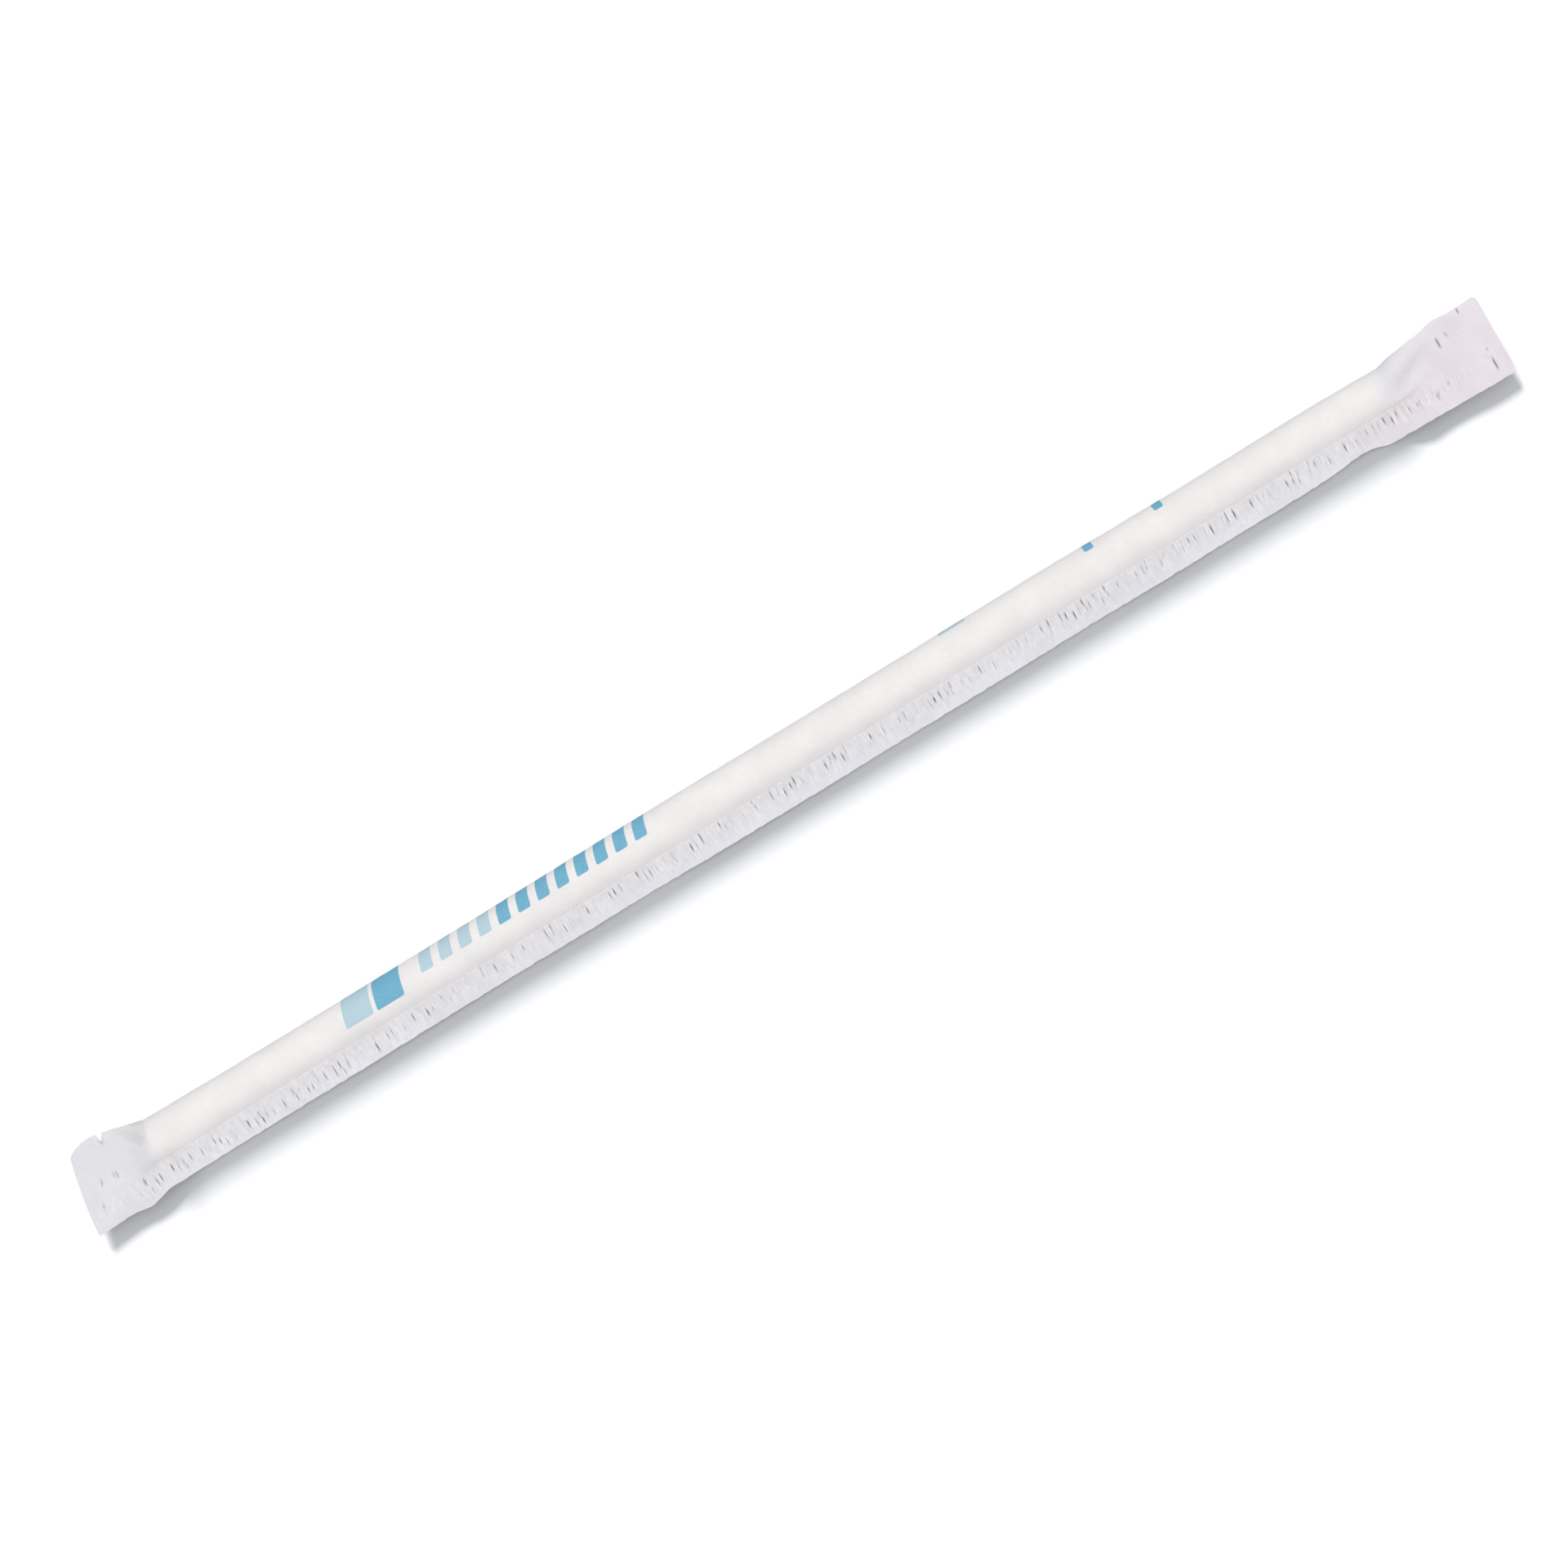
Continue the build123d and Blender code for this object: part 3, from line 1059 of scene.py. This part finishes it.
    def rows(self) -> tuple[Array, Array, Array]:
        """Places the rows across the sheet.

        Returns:
            Whether each row is on the seam, its share of the seam from the cut edge, and its share w
            of the body from the crease.
        """
        number = np.arange(self.last_row + 1)[:, None]
        seam_share = np.clip(number / self.seam_rows, 0, 1)
        return seam_share < 1, seam_share, np.clip((number - self.seam_rows) / self.body_rows, 0, 1)

    def step(self, row: int) -> int:
        """How many body columns lie between two points of a row."""
        if row <= self.seam_rows:
            return 1
        return self.near_step if row <= self.seam_rows + self.near_rows else self.body_step

    def body_columns(self) -> Array:
        """Places the body's columns, closer together at the foot of each tooth.

        Returns:
            Where they are along the straw.
        """
        teeth = round(self.sizes.straw_length / self.teeth.pitch)
        share = np.arange(teeth * self.columns_a_tooth + 1) / self.columns_a_tooth
        pitch = self.sizes.straw_length / teeth
        crowding = self.foot_crowding * np.sin(2 * math.pi * share) / (2 * math.pi)
        return -self.sizes.half + pitch * (share + crowding)

    def body_patch(self) -> Grids:
        """The stretch round the straw.

        Returns:
            Grids by name, one row of the sheet to a row.
        """
        in_seam, seam_share, w = self.rows()
        x = self.body_columns()[None, :]
        crease, radius = self.crease, self.sizes.body_radius
        from_rim = self.sizes.half - np.abs(x)
        held = self.rim_hold.at(from_rim)
        edge = curve_through(self.body_seam_edge, x) + self.fray.at(x)
        girth = self.body_girth * (1 - w) + 0 * x
        swell = 1 + self.swell.at(x, girth) * self.swell_rise.at(w) * held
        round_p, round_q = self.round_section(w)
        narrowing = (radius - curve_through(self.body_back_edge, x)) / (crease + radius)
        drawn_in = round_p * swell + (crease - round_p) * narrowing
        p = np.where(in_seam, edge + (crease - edge) * seam_share, drawn_in)

        kept, backing, hollow = 1.0, self.light_backing(w, p, crease), 0 * p
        for end in (self.left, self.right):
            d = end.side * x - self.sizes.half
            kept = kept * end.fullness(w, d)
            backing = backing * end.backing(w, d)
            hollow = hollow + end.hollow(w, d)
        over = self.ply + (np.where(in_seam, self.ply, round_q * swell) - self.ply) * kept
        over[-1] = 0.0
        under = np.where(in_seam, -self.ply, -round_q * swell)
        share = np.clip(p - crease, 0, None) / self.sizes.seam_width
        sag = self.sag.at(x) * share**self.sag_power
        sag = (sag + self.wrinkle.at(x, p) * self.wrinkle_rise.at(p - crease)) * self.sag_rise.at(from_rim)
        over, under = over + sag, under + sag
        under[-1] = over[-1]
        # Painted highlight along the crease on the body, stored as negative pinch.
        highlight_band = np.where(in_seam, 0.0, 1 - self.crease_fade.at(w))
        made = {"x": x + 0 * p, "p": p, "over": over, "under": under, "backing": backing}
        made |= {"hollow": hollow, "pinch": -self.crease_highlight * highlight_band * held}
        return self.on_sheet(made, girth)

    def end_patch(self, end: WrapperEnd) -> Grids:
        """One flattened end, from the rim (column 0) to the cut.

        Args:
            end: the end.

        Returns:
            Grids by name, one row of the sheet to a row.
        """
        in_seam, seam_share, w = self.rows()
        t = np.linspace(0, 1, round(end.seam_overhang / self.end_column) + 1)[None, :]
        seam_d = t * end.seam_overhang
        frayed = end.fray.at(seam_d)
        seam_reach = end.seam_reach(t) + frayed
        back = end.back_reach(t) + frayed * self.fray_rise.at(t)
        full_back = curve_through(end.back_edge, t * end.back_overhang)
        crease = curve_through(end.seam_edge, seam_d)
        crease = np.minimum(crease - crease[0, 0], self.crease_spread) + self.crease
        kept = (crease + back) / (crease + full_back)
        across = w * kept
        round_p, round_q = self.round_section(across)
        rim_share = (self.crease - round_p) / (self.crease + self.sizes.body_radius)
        spread = 1 - ease(seam_d / end.flatten_under)
        share = across + spread * (rim_share - across)
        on_body = crease - share * (crease + full_back)
        p = np.where(in_seam, seam_reach + (crease - seam_reach) * seam_share, on_body)

        cut = end.overhang(p)
        d = t * cut
        flat = np.where(w < 1, self.ply, 0.0)
        height = round_q - self.ply
        over = np.where(in_seam, self.ply, flat + end.fullness(across, d) * height)
        over = over - end.valley_depth * end.valley(across, d)
        under_full = 1 - ease(d / end.flatten_under)
        under = -np.where(in_seam, self.ply, flat + under_full * height)
        bend, pinch = end.relief(d, p, self.sizes.widest_reach)
        part = self.parting * ease(1 - (cut - d) / self.parting_length)
        part = part * self.parting_rise.at(across) * self.parting_rise.at(1 - w)
        over, under = np.maximum(over, flat) + bend + part, under + bend
        over[-1] = under[-1] = bend[-1]
        backing = self.light_backing(across, p, crease) * end.backing(across, d)
        made = {"x": end.side * (self.sizes.half + d), "p": p, "over": over, "under": under}
        made |= {"backing": backing, "hollow": end.hollow(across, d), "pinch": pinch}
        return self.on_sheet(made, self.body_girth * (1 - across))

    def light_backing(self, w: Array, p: Array, crease: Array | float) -> Array:
        """How far the straw backs the paper, which fades over the first part of the seam.

        Args:
            w: the share of the width from the crease to the back fold.
            p: place in the seam's plane.
            crease: the crease's reach.

        Returns:
            1 on the straw, 0 where there is only paper.
        """
        on_seam = self.crease_backing * (1 - self.seam_fade.at(p - crease))
        on_body = self.crease_backing + (1 - self.crease_backing) * self.body_rise.at(w)
        return np.where(p > crease, on_seam, on_body)

    def curl(self, x: Array, p: Array) -> Array:
        """How far the flat ends curl up off the floor.

        Args:
            x: along the straw.
            p: place in the seam's plane.

        Returns:
            The rise: most at the seam's edge, and level at the back.
        """
        share = (p - self.level_at) / (self.sizes.widest_reach - self.level_at)
        rise = 0 * x
        for end in (self.left, self.right):
            d = end.side * x - self.sizes.half
            wave = end.curl_wave * np.cos(2 * math.pi * d / end.curl_length)
            rise = rise + (end.curl + wave) * end.curl_rise.at(d)
        return rise * np.clip(share, self.back_share, 1.0)

    def on_sheet(self, made: Grids, girth: Array) -> Grids:
        """Adds where each point lies on the sheet, and how strong the crimp is there.

        Args:
            made: a patch's x, p and marks.
            girth: paper from the back fold, for rows on the body.

        Returns:
            The patch with its v, across and crimp.
        """
        x, p, in_seam = made["x"], made["p"], self.rows()[0]
        from_crease = p - p[self.seam_rows][None, :]
        across = np.where(in_seam, from_crease, girth - self.body_girth) / self.sizes.seam_width
        lowered, crimp = self.teeth.strength(x, across, np.abs(x) - self.sizes.half)
        v = np.where(in_seam, self.body_girth + from_crease, girth)
        return made | {"v": v, "across": lowered, "crimp": crimp}

    def layer_faces(self, rows: list[Array], ends: tuple[int, int], flip: bool) -> list[list[int]]:
        """Joins each row of a layer to the next.

        Args:
            rows: the point numbers of each row.
            ends: how many columns the left and the right end have.
            flip: True for the under layer, whose faces look down.

        Returns:
            The faces, looking outwards.
        """
        faces = []
        for row in range(self.last_row):
            near, far = rows[row].tolist(), rows[row + 1].tolist()
            ratio = self.step(row + 1) // self.step(row)
            cells = [(i, i, 1) for i in range(ends[0])]
            body = len(far) - 1 - ends[0] - ends[1]
            cells += [(ends[0] + i * ratio, ends[0] + i, ratio) for i in range(body)]
            start = ends[0] + body * ratio
            cells += [(start + i, ends[0] + body + i, 1) for i in range(ends[1])]
            for a, b, span in cells:
                face = near[a : a + span + 1] + [far[b + 1], far[b]]
                faces.append(face[::-1] if flip else face)
        return faces

    def cut_strip(
        self, over: list[Array], under: list[Array], points: Array, marks: Grids
    ) -> tuple[Array, Grids, list[list[int]]]:
        """Closes the cut edges between the layers, with each layer's own thickness and a gap between.

        Args:
            over: the upper layer's rows of point numbers.
            under: the under layer's rows.
            points: every point so far, as x, p and q.
            marks: each point's values by name.

        Returns:
            New points, their marks and the faces.
        """
        inner = range(1, self.last_row)
        run = [(over[r][0], under[r][0], over[r][1]) for r in reversed(inner)]
        run.append((over[0][0], under[0][0], over[1][1]))
        run += zip(over[0][1:-1], under[0][1:-1], over[1][1:-1])
        run.append((over[0][-1], under[0][-1], over[1][-2]))
        run += [(over[r][-1], under[r][-1], over[r][-2]) for r in inner]
        top, low, inward = np.array(run).T
        towards = points[inward] - points[top]
        towards = towards / np.linalg.norm(towards, axis=1, keepdims=True)
        layer = np.array([0, 0, self.ply * self.cut_ply])
        at_end = np.abs(points[top][:, :1]) > self.sizes.half + self.end_cut_from
        depth = np.where(at_end, self.end_cut_depth, self.cut_depth)
        root = (points[top] + points[low]) / 2 + towards * depth
        added = np.concatenate([points[top] - layer, root, points[low] + layer])
        count = len(top)
        rings = [top, *(len(points) + np.arange(3 * count).reshape(3, count)), low]
        first, last = over[self.last_row][0], over[self.last_row][-1]
        faces = []
        for a, b in zip(rings, rings[1:]):
            a, b = a.tolist(), b.tolist()
            faces += [[a[i + 1], a[i], b[i], b[i + 1]] for i in range(count - 1)]
            faces += [[a[0], first, b[0]], [last, a[-1], b[-1]]]
        values = {name: np.concatenate([mark[top], mark[top], mark[low]]) for name, mark in marks.items()}
        return added, values, faces

    def build(self, paper: bpy.types.Material) -> bpy.types.Object:
        """Makes the wrapper.

        Args:
            paper: its material.

        Returns:
            The finished piece.
        """
        body, left, right = self.body_patch(), self.end_patch(self.left), self.end_patch(self.right)
        ends = left["x"].shape[1] - 1, right["x"].shape[1] - 1
        laid = {name: [] for name in body}
        for name, rows in laid.items():
            for row in range(self.last_row + 1):
                on_body = body[name][row, :: self.step(row)]
                rows.append(np.concatenate([left[name][row, :0:-1], on_body, right[name][row, 1:]]))
        starts = np.cumsum([0, *(len(row) for row in laid["x"])])
        over = [np.arange(a, b) for a, b in zip(starts, starts[1:])]
        under = [row + starts[-1] for row in over[:-1]] + [over[-1]]
        flat = {name: np.concatenate(rows) for name, rows in laid.items()}
        shared = starts[-2]
        upper = np.stack([flat["x"], flat["p"], flat["over"]], axis=1)
        lower = np.stack([flat["x"], flat["p"], flat["under"]], axis=1)[:shared]
        points = np.concatenate([upper, lower])
        marks = {name: np.concatenate([flat[name], flat[name][:shared]]) for name in MARKS}
        marks["tooth"] = points[:, 0] / self.teeth.pitch + self.first_tooth
        marks["v"] = np.concatenate([flat["v"], -flat["v"][:shared]])
        marks["sheet_x"] = points[:, 0]
        added, new_marks, strip = self.cut_strip(over, under, points, marks)
        points = np.concatenate([points, added])
        marks = {name: np.concatenate([marks[name], new_marks[name]]) for name in marks}
        faces = self.layer_faces(over, ends, False) + self.layer_faces(under, ends, True) + strip

        placed = self.seam.to_part(*points.T)
        placed[:, 2] += self.curl(*points.T[:2]) * MM
        placed[:, 2] = np.maximum(placed[:, 2], self.clearance * MM)
        mesh = bpy.data.meshes.new("wrapper")
        mesh.from_pydata(placed.tolist(), [], faces)
        for name in (*MARKS, "tooth"):
            attribute = mesh.attributes.new(name, "FLOAT", "POINT")
            attribute.data.foreach_set("value", marks[name].astype(np.float32))
        corner = np.empty(len(mesh.loops), dtype=np.int32)
        mesh.loops.foreach_get("vertex_index", corner)
        uv = np.stack([marks["sheet_x"][corner], marks["v"][corner]], axis=1) / SHEET_UNIT
        mesh.uv_layers.new(name="sheet").data.foreach_set("uv", uv.astype(np.float32).ravel())
        mesh.shade_smooth()
        mesh.set_sharp_from_angle(angle=math.radians(self.sharp_angle))
        mesh.materials.append(paper)
        piece = put_in_scene("wrapper", mesh)
        self.teeth.press(piece, self.teeth.tree(self.seam.normal, paper))
        return piece


@dataclass(frozen=True)
class Sun:
    """A far light: how strong and how wide it is, how high it stands and how far it is turned."""

    strength: float
    spread: float
    elevation: float
    turn: float = 0.0


@dataclass(frozen=True)
class Studio:
    """The pale floor, the soft light and the camera above.

    Floor size and the camera's near limit are in metres, and angles in degrees. The picture is
    picture_width across at the height of the straw's axis, and is centred aim_to_seam beside it.
    """

    seam: SeamFrame
    floor_size: float = 6.0
    floor_colour: str = "#BEBFC1"
    sky: float = 1.04
    sky_colour: str = "#FBFCFF"
    key: Sun = Sun(7.2, 17.0, 32.5)
    window: Sun = Sun(0.3, 40.0, 48.0, 40.0)
    picture_width: float = 213.7
    lens: float = 120.0
    sensor: float = 36.0
    near_limit: float = 0.01
    picture_turn: float = 31.456
    aim_to_seam: float = 3.6

    def floor(self) -> bpy.types.Object:
        """Makes the floor, a plain matt board.

        Returns:
            The floor, staged so that it isn't part of the pack.
        """
        half = self.floor_size / 2
        mesh = bpy.data.meshes.new("floor")
        corners = [(-half, -half, 0), (half, -half, 0), (half, half, 0), (-half, half, 0)]
        mesh.from_pydata(corners, [], [(0, 1, 2, 3)])
        # Uncoated white board: quite matt, so the light stays even and no shine crosses it.
        board = bpy.data.materials.new("matt_white_board")
        tree = clean_tree(board)
        shader = add_node(tree, "ShaderNodeBsdfDiffuse", {"Color": linear_colour(self.floor_colour)})
        add_node(tree, "ShaderNodeOutputMaterial", {"Surface": shader.outputs[0]})
        mesh.materials.append(board)
        floor = put_in_scene("floor", mesh)
        return floor

    def light(self, floor: bpy.types.Object, piece: bpy.types.Object) -> None:
        """Lights the pack from a white sky, and throws its soft shadow on the floor.

        Args:
            floor: the only thing that the low key light falls on.
            piece: the wrapper, which a wide window lights a little more from its back.
        """
        world = bpy.data.worlds.new("sky")
        bpy.context.scene.world = world
        tree = clean_tree(world)
        white = {"Color": linear_colour(self.sky_colour), "Strength": self.sky}
        sky = add_node(tree, "ShaderNodeBackground", white).outputs[0]
        add_node(tree, "ShaderNodeOutputWorld", {"Surface": sky})
        for name, sun, lit in (("key", self.key, floor), ("window", self.window, piece)):
            lamp = bpy.data.lights.new(name, "SUN")
            lamp.energy = sun.strength
            lamp.angle = math.radians(sun.spread)
            lamp.cycles.max_bounces = 0
            light = put_in_scene(name, lamp)
            tilt, turn = math.radians(90 - sun.elevation), math.radians(sun.turn)
            light.rotation_euler = Euler((tilt, 0.0, math.pi - turn))
            lit_by = bpy.data.collections.new(f"lit_by_{name}")
            lit_by.objects.link(lit)
            light.light_linking.receiver_collection = lit_by

    def camera(self) -> None:
        """Sets the camera straight above the pack, turned so that it lies across the picture."""
        lens = bpy.data.cameras.new("camera")
        lens.lens = self.lens
        lens.sensor_width = self.sensor
        lens.clip_start = self.near_limit
        camera = put_in_scene("camera", lens)
        height = self.seam.z + self.picture_width * self.lens / self.sensor
        camera.location = (self.seam.x * MM, (self.seam.y - self.aim_to_seam) * MM, height * MM)
        camera.rotation_euler = Euler((0.0, 0.0, -math.radians(self.picture_turn)))
        bpy.context.scene.camera = camera
        bpy.context.scene.view_settings.view_transform = "Standard"


def main() -> None:
    """Builds the wrapper, the floor, the light and the camera."""
    logging.basicConfig(level=logging.INFO, format="%(name)s: %(message)s")
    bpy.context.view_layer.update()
    sizes = StrawSizes()
    seam = SeamFrame.from_box(sizes, *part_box(NODE))
    studio = Studio(seam)
    studio.camera()
    piece = Wrapper(sizes, seam).build(WrapPaper().material())
    studio.light(studio.floor(), piece)
    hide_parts(NODE)
    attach(piece, "root")
    log.info("%s: %d faces", piece.name, len(piece.data.polygons))


if __name__ == "__main__":
    main()
